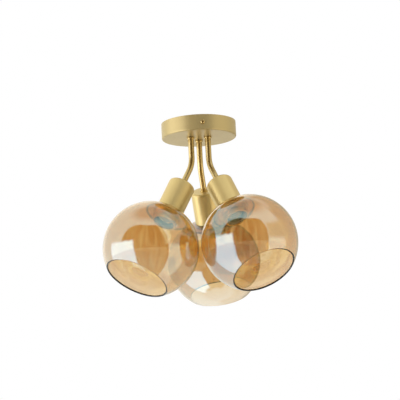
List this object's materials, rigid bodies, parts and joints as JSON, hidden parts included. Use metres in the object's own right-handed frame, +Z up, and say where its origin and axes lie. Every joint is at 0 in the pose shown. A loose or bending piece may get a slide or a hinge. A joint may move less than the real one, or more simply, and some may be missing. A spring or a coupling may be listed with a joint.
{
  "type": "semi flush ceiling light",
  "caption": "Semi flush ceiling light: a round canopy with bent swivelling tubes, each ending in a cup, a screw lampholder and an open glass globe held up by a threaded ring.",
  "frame": {"origin": "middle of the canopy in the ceiling plane, at the middle of the two ceiling slots", "axes": "+Z up to the ceiling; -Y towards one canopy screw, with the left arm on the -X side and the right arm on the +X side; the rear arm points towards +Y"},
  "size_m": [0.3022, 0.3282, 0.2863],
  "materials": {
    "satin_brass": "satin",
    "polished_brass": "polished",
    "brass_screw": "satin",
    "contact_brass": "plain",
    "zinc_steel": "zinc plated",
    "nickel_shell": "plain",
    "black_plastic": "moulded",
    "pale_plastic": "moulded",
    "white_plastic": "moulded",
    "white_ceramic": "matt",
    "lead_sheath": "extruded",
    "amber_glass": "gold lustre, half mirrored"
  },
  "bodies": {
    "fixture": {"ceiling_bracket": "zinc_steel", "canopy": "satin_brass", "canopy_screws": "brass_screw", "terminal_block": "white_plastic", "clamp_screws": "zinc_steel", "block_screws": "zinc_steel", "earth_screw": "zinc_steel", "block_leads": "lead_sheath"},
    "arm_left": {"arm_tube_left": "polished_brass", "tube_collar_left": "polished_brass", "tube_washer_left": "zinc_steel", "tube_nut_left": "zinc_steel", "cup_collar_left": "polished_brass", "lamp_cup_left": "satin_brass", "cup_nut_left": "zinc_steel", "holder_cap_left": "black_plastic", "holder_insert_left": "white_ceramic", "centre_contact_left": "contact_brass", "holder_liner_left": "pale_plastic", "screw_shell_left": "nickel_shell", "holder_skirt_left": "satin_brass", "tube_lead_left": "lead_sheath"},
    "arm_right": {"arm_tube_right": "polished_brass", "tube_collar_right": "polished_brass", "tube_washer_right": "zinc_steel", "tube_nut_right": "zinc_steel", "cup_collar_right": "polished_brass", "lamp_cup_right": "satin_brass", "cup_nut_right": "zinc_steel", "holder_cap_right": "black_plastic", "holder_insert_right": "white_ceramic", "centre_contact_right": "contact_brass", "holder_liner_right": "pale_plastic", "screw_shell_right": "nickel_shell", "holder_skirt_right": "satin_brass", "tube_lead_right": "lead_sheath"},
    "arm_rear": {"arm_tube_rear": "polished_brass", "tube_collar_rear": "polished_brass", "tube_washer_rear": "zinc_steel", "tube_nut_rear": "zinc_steel", "cup_collar_rear": "polished_brass", "lamp_cup_rear": "satin_brass", "cup_nut_rear": "zinc_steel", "holder_cap_rear": "black_plastic", "holder_insert_rear": "white_ceramic", "centre_contact_rear": "contact_brass", "holder_liner_rear": "pale_plastic", "screw_shell_rear": "nickel_shell", "holder_skirt_rear": "satin_brass", "tube_lead_rear": "lead_sheath"},
    "shade_left": {"glass_shade_left": "amber_glass"},
    "ring_left": {"shade_ring_left": "satin_brass"},
    "shade_right": {"glass_shade_right": "amber_glass"},
    "ring_right": {"shade_ring_right": "satin_brass"},
    "shade_rear": {"glass_shade_rear": "amber_glass"},
    "ring_rear": {"shade_ring_rear": "satin_brass"}
  },
  "joints": [
    {"name": "arm_swivel_left", "type": "hinge", "parent": "fixture", "child": "arm_left", "pos_m": [-0.01427, -0.00666, -0.025], "axis": [0, 0, 1], "range_deg": [-18, 1]},
    {"name": "arm_swivel_right", "type": "hinge", "parent": "fixture", "child": "arm_right", "pos_m": [0.0129, -0.00903, -0.025], "axis": [0, 0, 1], "range_deg": [-1, 16]},
    {"name": "arm_swivel_rear", "type": "hinge", "parent": "fixture", "child": "arm_rear", "pos_m": [0.00137, 0.01569, -0.025], "axis": [0, 0, 1], "range_deg": [-12, 18]},
    {"name": "shade_drop_left", "type": "slide", "parent": "arm_left", "child": "shade_left", "axis": [-0.4539, -0.2464, -0.8563], "range_m": [0, 0.01]},
    {"name": "ring_turn_left", "type": "hinge", "parent": "shade_left", "child": "ring_left", "pos_m": [-0.05887, -0.03087, -0.15416], "axis": [-0.4539, -0.2464, -0.8563], "range_deg": [0, 1440]},
    {"name": "shade_drop_right", "type": "slide", "parent": "arm_right", "child": "shade_right", "axis": [0.2925, -0.4256, -0.8563], "range_m": [0, 0.01]},
    {"name": "ring_turn_right", "type": "hinge", "parent": "shade_right", "child": "ring_right", "pos_m": [0.04165, -0.05086, -0.15416], "axis": [0.2925, -0.4256, -0.8563], "range_deg": [0, 1440]},
    {"name": "shade_drop_rear", "type": "slide", "parent": "arm_rear", "child": "shade_rear", "axis": [0.1553, 0.4926, -0.8563], "range_m": [0, 0.01]},
    {"name": "ring_turn_rear", "type": "hinge", "parent": "shade_rear", "child": "ring_rear", "pos_m": [0.01663, 0.06409, -0.15416], "axis": [0.1553, 0.4926, -0.8563], "range_deg": [0, 1440]}
  ],
  "couplings": [
    {"joint": "ring_turn_left", "follows": "shade_drop_left", "rad_per_m": 2513.3},
    {"joint": "ring_turn_right", "follows": "shade_drop_right", "rad_per_m": 2513.3},
    {"joint": "ring_turn_rear", "follows": "shade_drop_rear", "rad_per_m": 2513.3}
  ]
}
